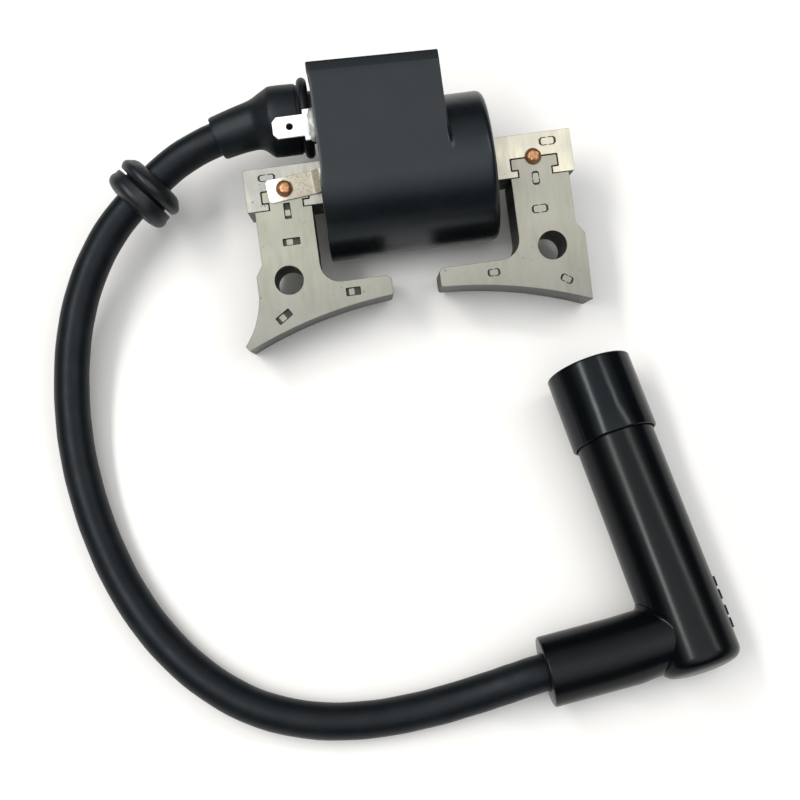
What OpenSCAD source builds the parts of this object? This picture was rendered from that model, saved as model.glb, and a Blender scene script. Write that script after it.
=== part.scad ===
// Ignition coil of a small petrol engine, with its plug lead, grommet and elbow plug cap.
// The coil rests on its round housing and its two pole shoes; the lead and the cap lie on the same surface.

/* [Laminated core] */
// Length of the straight bar through the windings
bar_len = 74.6; // [73.5:0.1:76]
// Width of the bar
bar_w = 9.6; // [9.2:0.1:9.8]
// Thickness of the lamination stack
stack_t = 14.4; // [13.8:0.1:14.8]
// Distance between the two mounting holes
hole_spacing = 60; // [59.5:0.1:60.5]
// Diameter of a mounting hole
hole_d = 6.5; // [6.2:0.1:6.8]
// Distance of the holes below the bar's centre line
hole_drop = 21; // [20.5:0.1:21.5]
// Radius of the flywheel-side arc of the pole shoes
pole_arc_r = 100; // [98:1:102]
// Gap left by the stamping tool along each seam
seam = 0.08; // [0.05:0.01:0.12]

/* [Housing] */
// Outer radius of the round winding housing
housing_r = 17.2; // [17:0.1:17.6]
// Wall thickness of the housing
wall = 1.7; // [1.5:0.1:1.8]
// Rounding of the round housing's closed end
end_round = 1.6; // [1:0.1:1.6]
// Height of the circuit box at the open end, from the bar's centre line
box_top = 24.8; // [24.4:0.1:25.2]

/* [Terminals and strap] */
// Width of the stop-switch blade
blade_w = 4.8; // [4.6:0.1:5]
// Thickness of the stop-switch blade
blade_t = 0.8; // [0.6:0.1:0.9]
// Width of the earth strap
strap_w = 5.3; // [5:0.1:5.6]
// Thickness of the earth strap
strap_t = 0.5; // [0.4:0.1:0.6]

/* [Plug lead] */
// Outer diameter of the lead
lead_d = 8; // [7.8:0.1:8]
// Diameter of the stranded conductor
conductor_d = 2.2; // [1.8:0.1:2.4]
// Diameter of the grommet's flanges
grommet_d = 16.6; // [16:0.1:17.4]

/* [Plug cap] */
// Diameter of the cap's barrel
barrel_d = 17.5; // [17:0.1:17.8]
// Diameter of the seal at the mouth
seal_d = 19.3; // [18.8:0.1:19.6]
// Length of the seal
seal_len = 17.5; // [16:0.5:18]
// Diameter of the arm that takes the lead
arm_d = 15; // [14:0.1:15.4]
// Bore of the cap's mouth, for the plug's insulator
mouth_d = 11; // [10.6:0.1:11.2]

/* [Hidden] */
$fn = 96;

tiny = 0.01;
half_t = stack_t / 2;

// T joint between the bar and each leg
joint_x = 28.4;
head_half = 5.2;
head_top = -0.7;
head_bottom = -3.15;
neck_half = 3.75;
leg_top = -bar_w / 2;
rivet_x = 28.3;
rivet_y = -0.5;
rivet_r = 1.3;
rivet_head_r = 1.85;
rivet_head_h = 1.1;

// Leg outlines, measured from the bar's centre
hole_x = hole_spacing / 2;
pole_arc_y = -127;
shoe_top = -22.8;
fillet_r = 4.5;
tail_tip = [-41.7, -34.6];
tail_foot = [-40.9, -35.75];
tail_arc_centre = [56.6, -22.2];
tail_arc_r = 19.4;
tail_arc_turn = acos((tail_arc_centre[0] + tail_tip[0]) / tail_arc_r);
leg_edge = 37.7;

// The coil leans until the round housing and the lower pole tip touch the surface
foot_reach = -tail_foot[1];
lean = asin(housing_r / norm([foot_reach, half_t])) - atan(half_t / foot_reach);
mid_x = (leg_edge + tail_tip[0]) / 2;
row_y_high = box_top * cos(lean) + housing_r * sin(lean);
row_y_low = -foot_reach * cos(lean) - half_t * sin(lean);
mid_y = (row_y_high + row_y_low) / 2;

// Housing
open_x = -20;
closed_x = 19;
box_open_x = -19.4;
box_end_x = 9.4;
box_top_end = box_top - 0.9;
resin_face = -19;
resin_back = -15.2;

// Windings
coil_left = -12.5;
coil_right = 16.6;
flange_t = 1;
primary_r = 10.6;
bobbin_r = 11.2;
secondary_bore_r = 11.4;
secondary_tube_r = 12.4;
secondary_wire_r = 14.4;
secondary_flange_r = 15;
secondary_flanges = 7;
secondary_flange_t = 0.7;

// Circuit board and its parts
board_y = 16.6;
board_t = 1.2;
board_left = -11.5;
board_len = 18;
board_half = 14;
part_y = board_y + board_t;

// High-voltage tower
tower_y = 16.4;
tower_r = 6;
tower_end = -31;
lead_r = lead_d / 2;
lead_clear = 0.06;

// Stop-switch blade; it and the strap end just behind the resin
blade_y = 12.5;
blade_z = 10.5;
metal_end = -14.6;

// Lead route, from inside the tower to inside the cap's arm
ROUTE = [
    [-13.3, 19.5, 21.9], [-22, 19.5, 21.9], [-31, 19.5, 21.9], [-39, 18.3, 20.7],
    [-46.4, 16.6, 18.9], [-53, 13.6, 17.4], [-65.8, 3.7, 14.4], [-71.8, -4, 12.8],
    [-76.3, -13, 11.1], [-79.3, -23, 9.3], [-80.8, -34, 7.7], [-81, -45, 6.2],
    [-79.8, -56, 5], [-77, -68, 4.2], [-72.5, -80, 4.1],
    [-66, -91.5, 4.1], [-57.5, -101.5, 4.1], [-47, -109.3, 4.1], [-35, -113.8, 4.1],
    [-23, -115.3, 4.1], [-11, -114.9, 4.6], [0, -113.5, 6], [8, -112.2, 7.9],
    [14, -111.2, 8.9], [34.8, -108.7, 8.9]
];
route_end = len(ROUTE) - 1;
lead_sides = 12;

// Grommet, on the straight stretch between two route points
grommet_from = ROUTE[5];
grommet_to = ROUTE[6];
grommet_place = 0.45;
grommet_front = 4.9;
grommet_back = 4;
grommet_groove = 0.6;
grommet_neck_r = 5.9;
grommet_face_r = 5;
grommet_clear = 0.15;

// Cap: its arm lies on the lead's last straight stretch
arm_start = ROUTE[route_end - 1];
arm_dir = ROUTE[route_end] - arm_start;
arm_angle = atan2(arm_dir[1], arm_dir[0]);
lead_stop = 12.4;
arm_len = 32;
elbow_skew = 3.4;
barrel_r = barrel_d / 2;
seal_r = seal_d / 2;
mouth_y = 62.3;
closed_y = -8.6;
cap_round = 2.5;
bar_rows = [8.6, 5.7, 2.2, -0.6];
cap_tilt = asin((seal_r - barrel_r) / (mouth_y - seal_len - closed_y));
spigot_r = 7.1;
spigot_len = 12;
lip = 1.5;
bore_y = 36;
socket_y = 24;
socket_r = 4.6;
resistor_r = 3;
resistor_back = -3.5;
resistor_front = 14.5;
contact_back = 22;
contact_front = 35;
screw_head_r = 3;
screw_head_t = 1.6;
screw_gap = 0.2;
screw_len = 9;
screw_clear = 0.05;

function unit(v) = v / norm(v);

// Points of an arc from one angle to another
function arc(centre, r, from, to, steps = 12) =
    [for (i = [0 : steps]) let (a = from + (to - from) * i / steps) centre + r * [cos(a), sin(a)]];

// Frame at point i of a path: the two directions across it
function tangent(path, i) =
    let (a = max(i - 1, 0), b = min(i + 1, len(path) - 1)) unit(path[b] - path[a]);
function across(path, i, ref) = unit(cross(tangent(path, i), ref));

function ring(path, i, r, sides, ref) =
    let (u = across(path, i, ref), v = cross(u, tangent(path, i)))
    [for (k = [0 : sides - 1]) path[i] + r * (cos(360 * k / sides) * u + sin(360 * k / sides) * v)];

// Round bar swept along a path
module sweep(path, r, sides, ref = [0, 0, 1]) {
    rings = len(path);
    points = [for (i = [0 : rings - 1]) each ring(path, i, r, sides, ref)];
    walls = [
        for (i = [0 : rings - 2], k = [0 : sides - 1])
            let (a = i * sides + k, b = i * sides + (k + 1) % sides)
            each [[a, b, b + sides], [a, b + sides, a + sides]]
    ];
    first = [for (k = [sides - 1 : -1 : 0]) k];
    last = [for (k = [0 : sides - 1]) (rings - 1) * sides + k];
    polyhedron(points, concat([first], walls, [last]));
}

// Coil parts are drawn round the bar's centre, with the laminations flat, and placed here
module on_table() {
    translate([-mid_x, -mid_y, housing_r]) rotate([lean, 0, 0]) children();
}

// Turns a part drawn along +Z so that it points from one point to another
module along(from, to) {
    d = unit(to - from);
    translate(from) rotate([0, acos(d[2]), atan2(d[1], d[0])]) children();
}

// Cap parts are drawn round the point where the arm meets the barrel
module on_cap() {
    centre = ROUTE[route_end] + lead_stop * unit(arm_dir);
    translate(centre) rotate([0, 0, arm_angle]) rotate([cap_tilt, 0, 0]) children();
}

// The barrel's axis is +Y here, towards the mouth
module on_barrel() {
    on_cap() rotate([0, 0, elbow_skew]) children();
}

// Turned shape whose axis is +Y, drawn as radius and height
module turned_y() {
    rotate([-90, 0, 0]) rotate_extrude() children();
}

module along_x(x, y, z, r, length) {
    translate([x, y, z]) rotate([0, 90, 0]) cylinder(r = r, h = length);
}

module box_between(low, high) {
    translate(low) cube(high - low);
}

// ---- Laminated core ----

// Outline of the slot in the bar that takes a leg's T head
module tee_slot() {
    root = 1;
    translate([joint_x, 0]) {
        translate([-head_half - seam, head_bottom - seam])
            square([2 * (head_half + seam), head_top - head_bottom + 2 * seam]);
        translate([-neck_half - seam, leg_top - root])
            square([2 * (neck_half + seam), head_top - leg_top + root]);
    }
}

module rivet_hole(side) {
    translate([side * rivet_x, rivet_y, -stack_t]) cylinder(r = rivet_r + 0.05, h = 2 * stack_t);
}

// Interlock dimple of the stack: pressed down at both ends, with a bridge left between
module dimple(x, y, length, width, turn) {
    depth = 0.6;
    translate([x, y, half_t]) rotate([0, 0, turn]) {
        for (end = [-1, 1])
            translate([end * length / 2 - (end > 0 ? length * 0.34 : 0), -width / 2, -depth])
                cube([length * 0.34, width, 2 * depth]);
        translate([-length / 2, -width / 2, -depth / 3]) cube([length, width, depth]);
    }
}

// Interlock outline where the stack was pressed flush
module flush_mark(x, y, length, width, turn) {
    groove = 0.18;
    translate([x, y, half_t - groove]) rotate([0, 0, turn]) linear_extrude(1) difference() {
        square([length, width], center = true);
        square([length - 2 * groove, width - 2 * groove], center = true);
        square([length / 3, width + 1], center = true);
    }
}

module core_bar() {
    color([0.72, 0.71, 0.67]) on_table() difference() {
        translate([0, 0, -half_t]) linear_extrude(stack_t) difference() {
            square([bar_len, bar_w], center = true);
            tee_slot();
            mirror([1, 0]) tee_slot();
        }
        rivet_hole(1);
        rivet_hole(-1);
        dimple(-32, 2.55, 4, 1.5, 0);
        flush_mark(32, 2.55, 3.8, 1.8, 0);
    }
}

// Leg outline for the right side; outer is the list of points of its outer edge
module leg_outline(outer, shoe_tip) {
    inner_x = 22.7;
    tip_round = 1.2;
    tee_points = [
        [joint_x - neck_half, head_bottom], [joint_x - head_half, head_bottom],
        [joint_x - head_half, head_top], [joint_x + head_half, head_top],
        [joint_x + head_half, head_bottom], [joint_x + neck_half, head_bottom]
    ];
    difference() {
        polygon(concat(
            [[inner_x, leg_top], [joint_x - neck_half, leg_top]],
            tee_points,
            [[joint_x + neck_half, leg_top]],
            outer,
            [[shoe_tip, -30]],
            arc([shoe_tip + tip_round, shoe_top - tip_round], tip_round, 180, 90, 6),
            arc([inner_x - fillet_r, shoe_top + fillet_r], fillet_r, -90, 0)
        ));
        translate([0, pole_arc_y]) circle(pole_arc_r, $fn = 360);
        translate([hole_x, -hole_drop]) circle(hole_d / 2);
    }
}

module right_leg() {
    outer = [[35.9, leg_top], [35.9, -16.6], [leg_edge, -19.2], [37.4, -36]];
    color([0.68, 0.67, 0.63]) on_table() difference() {
        translate([0, 0, -half_t]) linear_extrude(stack_t) leg_outline(outer, 3.8);
        rivet_hole(1);
        flush_mark(28.3, -5.45, 3.2, 1.7, 90);
        flush_mark(28.3, -12.45, 3.8, 1.9, 0);
        flush_mark(16, -25.4, 2.9, 1.7, 0);
        flush_mark(32.2, -29, 3, 1.7, -33);
    }
}

module left_leg() {
    outer = concat(
        [[35.6, leg_top], [35.6, -16.8], [37.2, -19.4]],
        arc(tail_arc_centre, tail_arc_r, 180, 180 + tail_arc_turn),
        [[-tail_foot[0], tail_foot[1]], [37, -36]]
    );
    color([0.68, 0.67, 0.63]) on_table() difference() {
        translate([0, 0, -half_t]) linear_extrude(stack_t) mirror([1, 0]) leg_outline(outer, 7.1);
        rivet_hole(-1);
        dimple(-28.3, -5.45, 3.7, 1.6, 90);
        dimple(-28.3, -12.45, 4, 1.7, 0);
        dimple(-16, -25.4, 3.4, 1.9, 0);
        dimple(-32.2, -29, 3.8, 1.9, 33);
    }
}

// Copper rivet through the stack, headed on both faces
module rivet(side, top_z) {
    translate([side * rivet_x, rivet_y, 0]) {
        translate([0, 0, -half_t]) cylinder(r = rivet_r, h = half_t + top_z);
        translate([0, 0, top_z]) rivet_head();
        translate([0, 0, -half_t]) mirror([0, 0, 1]) rivet_head();
    }
}

module rivet_head() {
    ball_r = (rivet_head_r * rivet_head_r + rivet_head_h * rivet_head_h) / (2 * rivet_head_h);
    rotate_extrude() intersection() {
        translate([0, rivet_head_h - ball_r]) circle(ball_r);
        square([rivet_head_r, rivet_head_h]);
    }
}

module strap_rivet() {
    color([0.75, 0.43, 0.24]) on_table() rivet(-1, half_t + strap_t);
}

module lock_rivet() {
    color([0.75, 0.43, 0.24]) on_table() rivet(1, half_t);
}

// ---- Housing, resin and the metal that comes out of it ----

module round_housing(r, from, to, edge) {
    translate([from, 0, 0]) rotate([0, 90, 0]) rotate_extrude() {
        square([r, to - from - edge]);
        square([r - edge, to - from]);
        translate([r - edge, to - from - edge]) circle(edge);
    }
}

// Outline of the circuit box, seen square to the laminations; inset thins it to the inside
module box_outline(inset) {
    polygon([
        [box_open_x - (inset > 0 ? 1 : 0), 0], [box_end_x - inset, 0],
        [box_end_x - inset, box_top_end - inset],
        [box_open_x - (inset > 0 ? 1 : 0), box_top - inset]
    ]);
}

module housing_inside() {
    translate([0, 0, -housing_r + wall]) linear_extrude(2 * (housing_r - wall)) box_outline(wall);
    along_x(open_x - 1, 0, 0, housing_r - wall, closed_x - open_x + 1 - wall);
}

module housing_shell() {
    slot = 0.1;
    color([0.10, 0.11, 0.12]) on_table() difference() {
        union() {
            round_housing(housing_r, open_x, closed_x, end_round);
            translate([0, 0, -housing_r]) linear_extrude(2 * housing_r) box_outline(0);
        }
        housing_inside();
        box_between([0, -bar_w / 2 - slot, -half_t - slot], [25, bar_w / 2 + slot, half_t + slot]);
    }
}

module potting_resin() {
    color([0.16, 0.16, 0.15]) on_table() difference() {
        intersection() {
            housing_inside();
            box_between([resin_face, -20, -20], [resin_back, 30, 20]);
        }
        cube([bar_len, bar_w, stack_t], center = true);
        along_x(resin_face - 1, tower_y, 0, tower_r, 10);
        blade_solid();
        strap_solid();
    }
}

// Strap: flat on the stack, then bent up and into the resin
module strap_solid() {
    bend_x = -21.6;
    rise = 1.7;
    low = half_t;
    difference() {
        translate([-rivet_x, rivet_y, 0]) rotate([0, 0, 5]) translate([rivet_x, 0, 0])
            rotate([90, 0, 0]) translate([0, 0, -strap_w / 2]) linear_extrude(strap_w) polygon([
                [-32.2, low], [bend_x, low], [bend_x + rise, low + rise], [metal_end, low + rise],
                [metal_end, low + rise + strap_t], [bend_x + rise - 0.2, low + rise + strap_t],
                [bend_x - 0.2, low + strap_t], [-32.2, low + strap_t]
            ]);
        rivet_hole(-1);
    }
}

module ground_strap() {
    color([0.85, 0.83, 0.78]) on_table() strap_solid();
}

// Stop-switch blade with a chamfered end, a hole and a wider shoulder
module blade_solid() {
    tip_x = -29;
    chamfer = 1;
    shoulder = 6.9;
    hole_at = 3.8;
    translate([0, blade_y, blade_z - blade_t / 2]) linear_extrude(blade_t) difference() {
        union() {
            polygon([
                [tip_x + chamfer, blade_w / 2], [tip_x, blade_w / 2 - chamfer],
                [tip_x, -blade_w / 2 + chamfer], [tip_x + chamfer, -blade_w / 2],
                [metal_end, -blade_w / 2], [metal_end, blade_w / 2]
            ]);
            translate([-22, -shoulder / 2]) square([4, shoulder]);
        }
        translate([tip_x + hole_at, 0]) circle(0.8);
    }
}

module kill_terminal() {
    color([0.88, 0.88, 0.86]) on_table() blade_solid();
}

// ---- Windings ----

module primary_bobbin() {
    inner = [bar_w + 0.2, stack_t + 0.2];
    outer = [bar_w + 2.2, stack_t + 2.2];
    color([0.85, 0.80, 0.66]) on_table() difference() {
        union() {
            box_between([coil_left, -outer[0] / 2, -outer[1] / 2], [coil_right, outer[0] / 2, outer[1] / 2]);
            along_x(coil_left, 0, 0, bobbin_r, flange_t);
            along_x(coil_right - flange_t, 0, 0, bobbin_r, flange_t);
        }
        box_between([-30, -inner[0] / 2, -inner[1] / 2], [30, inner[0] / 2, inner[1] / 2]);
    }
}

module primary_winding() {
    from = coil_left + flange_t;
    length = coil_right - coil_left - 2 * flange_t;
    hole = [bar_w + 2.2, stack_t + 2.2];
    color([0.72, 0.36, 0.16]) on_table() difference() {
        along_x(from, 0, 0, primary_r, length);
        box_between([-30, -hole[0] / 2, -hole[1] / 2], [30, hole[0] / 2, hole[1] / 2]);
    }
}

secondary_len = coil_right - coil_left;
secondary_pitch = (secondary_len - secondary_flange_t) / (secondary_flanges - 1);

module secondary_bobbin() {
    color([0.80, 0.78, 0.70]) on_table() difference() {
        union() {
            along_x(coil_left, 0, 0, secondary_tube_r, secondary_len);
            for (i = [0 : secondary_flanges - 1])
                along_x(coil_left + i * secondary_pitch, 0, 0, secondary_flange_r, secondary_flange_t);
        }
        along_x(coil_left - 1, 0, 0, secondary_bore_r, secondary_len + 2);
    }
}

module secondary_winding() {
    length = secondary_pitch - secondary_flange_t;
    color([0.62, 0.27, 0.12]) on_table()
        for (i = [0 : secondary_flanges - 2])
            difference() {
                x = coil_left + i * secondary_pitch + secondary_flange_t;
                along_x(x, 0, 0, secondary_wire_r, length);
                along_x(x - 1, 0, 0, secondary_tube_r, length + 2);
            }
}

// ---- Circuit ----

module circuit_board() {
    color([0.16, 0.42, 0.22]) on_table()
        box_between([board_left, board_y, -board_half], [board_left + board_len, part_y, board_half]);
}

module power_transistor() {
    color([0.13, 0.13, 0.14]) on_table() {
        box_between([-9, part_y, -6], [0, part_y + 3.2, 4]);
        for (i = [-1 : 1])
            box_between([-5 + 2.3 * i, part_y, 4], [-4.2 + 2.3 * i, part_y + 0.6, 8]);
    }
}

module control_chip() {
    color([0.09, 0.09, 0.10]) on_table() {
        box_between([1, part_y + 0.3, -3], [5, part_y + 1.8, 3]);
        for (i = [0 : 3], side = [0, 1])
            translate([side ? 5 : 0.2, part_y, -2.3 + 1.4 * i]) cube([0.8, 0.6, 0.5]);
    }
}

module board_resistors() {
    color([0.72, 0.62, 0.44]) on_table()
        for (z = [-11.5, -8.5])
            along_x(-8, part_y + 1.2, z, 1.1, 6);
}

module board_capacitor() {
    color([0.80, 0.47, 0.12]) on_table()
        box_between([1, part_y, 6], [5, part_y + 3.4, 12.5]);
}

// The primary's two ends run up to the board in front of the bobbins
module primary_leads() {
    color([0.72, 0.36, 0.16]) on_table() for (side = [-1, 1])
        sweep([
            [coil_left - 0.5, 9.5, side * 4], [coil_left - 1.2, 10.5, side * 5],
            [coil_left - 1.2, 13.5, side * 7.5], [coil_left - 0.6, 16.2, side * 8.5],
            [board_left - 0.5, 17.2, side * 8.5], [board_left - 0.02, 17.2, side * 8.5]
        ], 0.4, 6, [0, 0, 1]);
}

// From the blade and from the earth strap up to the board
module board_wires() {
    color([0.75, 0.12, 0.10]) on_table() {
        sweep([
            [-14, 13, 10.5], [-13.6, 14, 10.7], [-13.3, 16, 11.2], [-12.6, 17.2, 11.6],
            [board_left - 0.02, 17.2, 11.6]
        ], 0.5, 8);
        sweep([
            [-13.9, 1.5, 9.2], [-13.7, 4.5, 10.5], [-13.7, 9, 12.8], [-13.6, 14, 13.2],
            [-12.8, 17.2, 13.2], [board_left - 0.02, 17.2, 13.2]
        ], 0.5, 8);
    }
}

// ---- High-voltage side ----

module hv_terminal() {
    disc_x = -15.2;
    color([0.80, 0.66, 0.30]) on_table() {
        along_x(disc_x - 2.5, tower_y, 0, 0.5, 2.6);
        along_x(disc_x, tower_y, 0, 2.4, 0.8);
        box_between([disc_x + 0.4, 13, -1.2], [disc_x + 0.8, tower_y, 1.2]);
        along_x(disc_x + 0.4, 13.4, 0, 0.8, coil_left - disc_x - 0.4);
    }
}

module hv_tower() {
    lip = 0.7;
    color([0.12, 0.12, 0.13]) on_table() difference() {
        union() {
            along_x(tower_end, tower_y, 0, tower_r, resin_back - tower_end);
            along_x(tower_end + 2, tower_y, 0, tower_r + lip, 2);
        }
        along_x(tower_end - 1, tower_y, 0, lead_r + lead_clear, 40);
    }
}

// Rubber boot: rolled bead, body, taper, and a sleeve that follows the lead as it bends down
boot_root = -20.4;
boot_bead_w = 2.3;
boot_body_r = 8.1;
boot_bead_r = 9.25;
boot_body_end = -29.6;
boot_neck_end = -33;
boot_neck_r = 5.6;
sleeve_r = 4.9;

module tower_boot() {
    bead = boot_bead_w / 2;
    from = ROUTE[2];
    to = ROUTE[3];
    color([0.05, 0.05, 0.055]) difference() {
        union() {
            on_table() translate([boot_root, tower_y, 0]) rotate([0, -90, 0]) {
                rotate_extrude() {
                    square([boot_bead_r - bead, boot_bead_w]);
                    translate([boot_bead_r - bead, bead]) circle(bead);
                }
                cylinder(r = boot_body_r, h = boot_root - boot_body_end);
                translate([0, 0, boot_root - boot_body_end])
                    cylinder(r1 = boot_body_r, r2 = boot_neck_r, h = boot_body_end - boot_neck_end);
            }
            along(from, to) {
                sphere(r = boot_neck_r);
                cylinder(r1 = boot_neck_r, r2 = sleeve_r, h = norm(to - from) + 0.9);
            }
        }
        on_table() {
            along_x(tower_end, tower_y, 0, tower_r + 0.02, 20);
            along_x(tower_end + 1.9, tower_y, 0, tower_r + 0.75, 2.2);
            along_x(-34, tower_y, 0, lead_r, 10);
        }
        along(from, to) translate([0, 0, -1]) cylinder(r = lead_r, h = 20);
    }
}

module hv_lead() {
    color([0.09, 0.10, 0.11]) difference() {
        sweep(ROUTE, lead_r, lead_sides);
        on_cap() screw_point(screw_clear);
    }
}

module lead_conductor() {
    color([0.75, 0.43, 0.24]) difference() {
        sweep(ROUTE, conductor_d / 2, 8);
        on_cap() screw_point(screw_clear);
    }
}

// One flange: thin at the groove, a rounded rim, and a domed outer face
module grommet_flange(side, rim, rim_at, length) {
    flange_r = grommet_d / 2;
    lip = 0.6;
    hull() {
        translate([0, side * (grommet_groove + lip) / 2 - lip / 2]) square([flange_r - lip, lip]);
        translate([flange_r - rim, side * rim_at]) circle(rim);
        translate([0, side * (length - tiny / 2) - tiny / 2]) square([grommet_face_r, tiny]);
    }
}

module grommet() {
    centre = grommet_from + grommet_place * (grommet_to - grommet_from);
    hole_len = grommet_front + grommet_back;
    color([0.05, 0.05, 0.055]) along(centre, grommet_to) rotate_extrude() difference() {
        union() {
            translate([0, -grommet_back]) square([grommet_face_r, hole_len]);
            translate([0, -grommet_groove]) square([grommet_neck_r, 2 * grommet_groove]);
            grommet_flange(1, 1.9, 2.6, grommet_front);
            grommet_flange(-1, 1.1, 1.6, grommet_back);
        }
        translate([0, -hole_len]) square([lead_r + grommet_clear, 2 * hole_len]);
    }
}

// ---- Plug cap ----

module barrel_profile() {
    shaft = mouth_y - spigot_len - closed_y;
    translate([0, closed_y]) {
        square([barrel_r - cap_round, shaft]);
        translate([0, cap_round]) square([barrel_r, shaft - cap_round]);
        translate([barrel_r - cap_round, cap_round]) circle(cap_round);
    }
    translate([0, mouth_y - spigot_len - tiny]) square([spigot_r, spigot_len - lip]);
}

// Plain raised bars low on the barrel, on the side away from the arm
module cap_bars() {
    proud = 0.4;
    half_w = 1.6;
    half_y = 1.1;
    for (y = bar_rows)
        box_between([barrel_r - 1, y - half_y, -half_w], [barrel_r + proud, y + half_y, half_w]);
}

module cap_body() {
    color([0.04, 0.04, 0.045]) difference() {
        union() {
            on_barrel() turned_y() barrel_profile();
            on_barrel() cap_bars();
            on_cap() along_x(-arm_len, 0, 0, arm_d / 2, arm_len);
        }
        on_barrel() turned_y() {
            translate([0, bore_y]) square([mouth_d / 2, mouth_y]);
            translate([0, socket_y]) square([socket_r, mouth_y]);
            translate([0, resistor_back]) square([resistor_r + 0.05, mouth_y]);
        }
        on_cap() {
            along_x(-arm_len - 1, 0, 0, lead_r + lead_clear, arm_len + 1 - lead_stop + 0.1);
            along_x(-lead_stop - 0.2, 0, 0, screw_head_r + 0.1, lead_stop);
        }
    }
}

module cap_seal() {
    edge = 0.6;
    color([0.05, 0.05, 0.055]) on_barrel() turned_y() difference() {
        translate([0, mouth_y - seal_len]) {
            square([seal_r - edge, seal_len]);
            translate([0, edge]) square([seal_r, seal_len - 2 * edge]);
            for (y = [edge, seal_len - edge]) translate([seal_r - edge, y]) circle(edge);
        }
        square([mouth_d / 2 + 0.2, mouth_y + 1]);
        translate([0, mouth_y - spigot_len - tiny]) square([spigot_r, spigot_len - lip + tiny]);
        square([barrel_r, mouth_y - spigot_len]);
    }
}

// Screw that bites into the end of the lead; clear widens it for the hole it has cut
module screw_point(clear) {
    translate([screw_gap - lead_stop, 0, 0]) rotate([0, -90, 0])
        cylinder(r1 = 0.8 + clear, r2 = 0.25 + clear, h = screw_len + clear);
}

module cap_screw() {
    color([0.80, 0.66, 0.30]) on_cap() {
        along_x(screw_gap - lead_stop, 0, 0, screw_head_r, screw_head_t);
        along_x(screw_gap - lead_stop, 0, 0, 1.1, lead_stop - screw_gap - resistor_r - 0.1);
        screw_point(0);
    }
}

module cap_resistor() {
    color([0.86, 0.84, 0.78]) on_barrel() turned_y()
        translate([0, resistor_back + 0.1]) square([resistor_r, resistor_front - resistor_back - 0.1]);
}

module cap_spring() {
    turns = 5;
    steps = 12;
    wire_r = 0.35;
    coil_r = 2.4;
    rise = contact_back - resistor_front - 2 * wire_r;
    path = [
        for (i = [0 : turns * steps])
            let (a = 360 * i / steps)
            [coil_r * cos(a), resistor_front + wire_r + rise * i / (turns * steps), coil_r * sin(a)]
    ];
    color([0.75, 0.75, 0.74]) on_barrel() sweep(path, wire_r, 6, [0, 1, 0]);
}

// Sprung clip that grips the plug's terminal nut
module cap_contact() {
    nut_r = 3.2;
    clip_r = 3.9;
    slit = 1;
    color([0.80, 0.66, 0.30]) on_barrel() difference() {
        turned_y() {
            translate([0, contact_back]) square([resistor_r, socket_y - contact_back + 0.1]);
            translate([0, socket_y + 0.1]) square([socket_r - 0.1, 1]);
            translate([0, socket_y + 0.1]) square([clip_r, contact_front - socket_y]);
        }
        turned_y() translate([0, socket_y + 1.1]) square([nut_r, contact_front]);
        box_between([-slit / 2, socket_y + 3, -10], [slit / 2, contact_front + 2, 10]);
    }
}

housing_shell();
potting_resin();
core_bar();
left_leg();
right_leg();
strap_rivet();
lock_rivet();
ground_strap();
kill_terminal();
primary_bobbin();
primary_winding();
secondary_bobbin();
secondary_winding();
circuit_board();
power_transistor();
control_chip();
board_resistors();
board_capacitor();
primary_leads();
board_wires();
hv_terminal();
hv_tower();
tower_boot();
hv_lead();
lead_conductor();
grommet();
cap_body();
cap_seal();
cap_screw();
cap_resistor();
cap_spring();
cap_contact();
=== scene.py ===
"""Looks of the ignition coil: every visible piece is built here as a mesh, in millimetres in its own
part's frame (coil, cap or barrel), and placed in the row frame in metres."""

import math

import bmesh
import bpy
from mathutils import Matrix, Vector, noise
from mathutils.geometry import tessellate_polygon


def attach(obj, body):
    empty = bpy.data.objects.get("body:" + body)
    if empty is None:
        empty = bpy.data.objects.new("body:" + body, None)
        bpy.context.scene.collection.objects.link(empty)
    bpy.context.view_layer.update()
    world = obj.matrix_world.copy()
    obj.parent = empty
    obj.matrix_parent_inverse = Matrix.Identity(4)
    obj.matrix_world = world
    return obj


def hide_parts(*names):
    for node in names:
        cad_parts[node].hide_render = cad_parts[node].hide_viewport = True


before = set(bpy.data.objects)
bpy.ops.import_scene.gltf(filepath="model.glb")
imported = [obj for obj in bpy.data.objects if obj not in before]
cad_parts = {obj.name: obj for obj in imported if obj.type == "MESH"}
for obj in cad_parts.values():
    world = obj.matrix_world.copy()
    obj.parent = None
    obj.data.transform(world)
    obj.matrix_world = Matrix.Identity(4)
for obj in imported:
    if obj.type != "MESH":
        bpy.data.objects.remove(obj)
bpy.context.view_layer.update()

MM = 0.001

# ---- Frames of the coil, the cap's arm and the cap's barrel, in millimetres ----

LEAN = math.asin(17.2 / math.hypot(35.75, 7.2)) - math.atan(7.2 / 35.75)
COIL = Matrix.Scale(MM, 4) @ Matrix.Translation((2, 3.801, 17.2)) @ Matrix.Rotation(LEAN, 4, "X")

ROUTE = [Vector(p) for p in [
    (-13.3, 19.5, 21.9), (-22, 19.5, 21.9), (-31, 19.5, 21.9), (-39, 18.3, 20.7), (-46.4, 16.6, 18.9),
    (-53, 13.6, 17.4), (-65.8, 3.7, 14.4), (-71.8, -4, 12.8), (-76.3, -13, 11.1), (-79.3, -23, 9.3),
    (-80.8, -34, 7.7), (-81, -45, 6.2), (-79.8, -56, 5), (-77, -68, 4.2), (-72.5, -80, 4.1),
    (-66, -91.5, 4.1), (-57.5, -101.5, 4.1), (-47, -109.3, 4.1), (-35, -113.8, 4.1), (-23, -115.3, 4.1),
    (-11, -114.9, 4.6), (0, -113.5, 6), (8, -112.2, 7.9), (14, -111.2, 8.9), (34.8, -108.7, 8.9)]]

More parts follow.
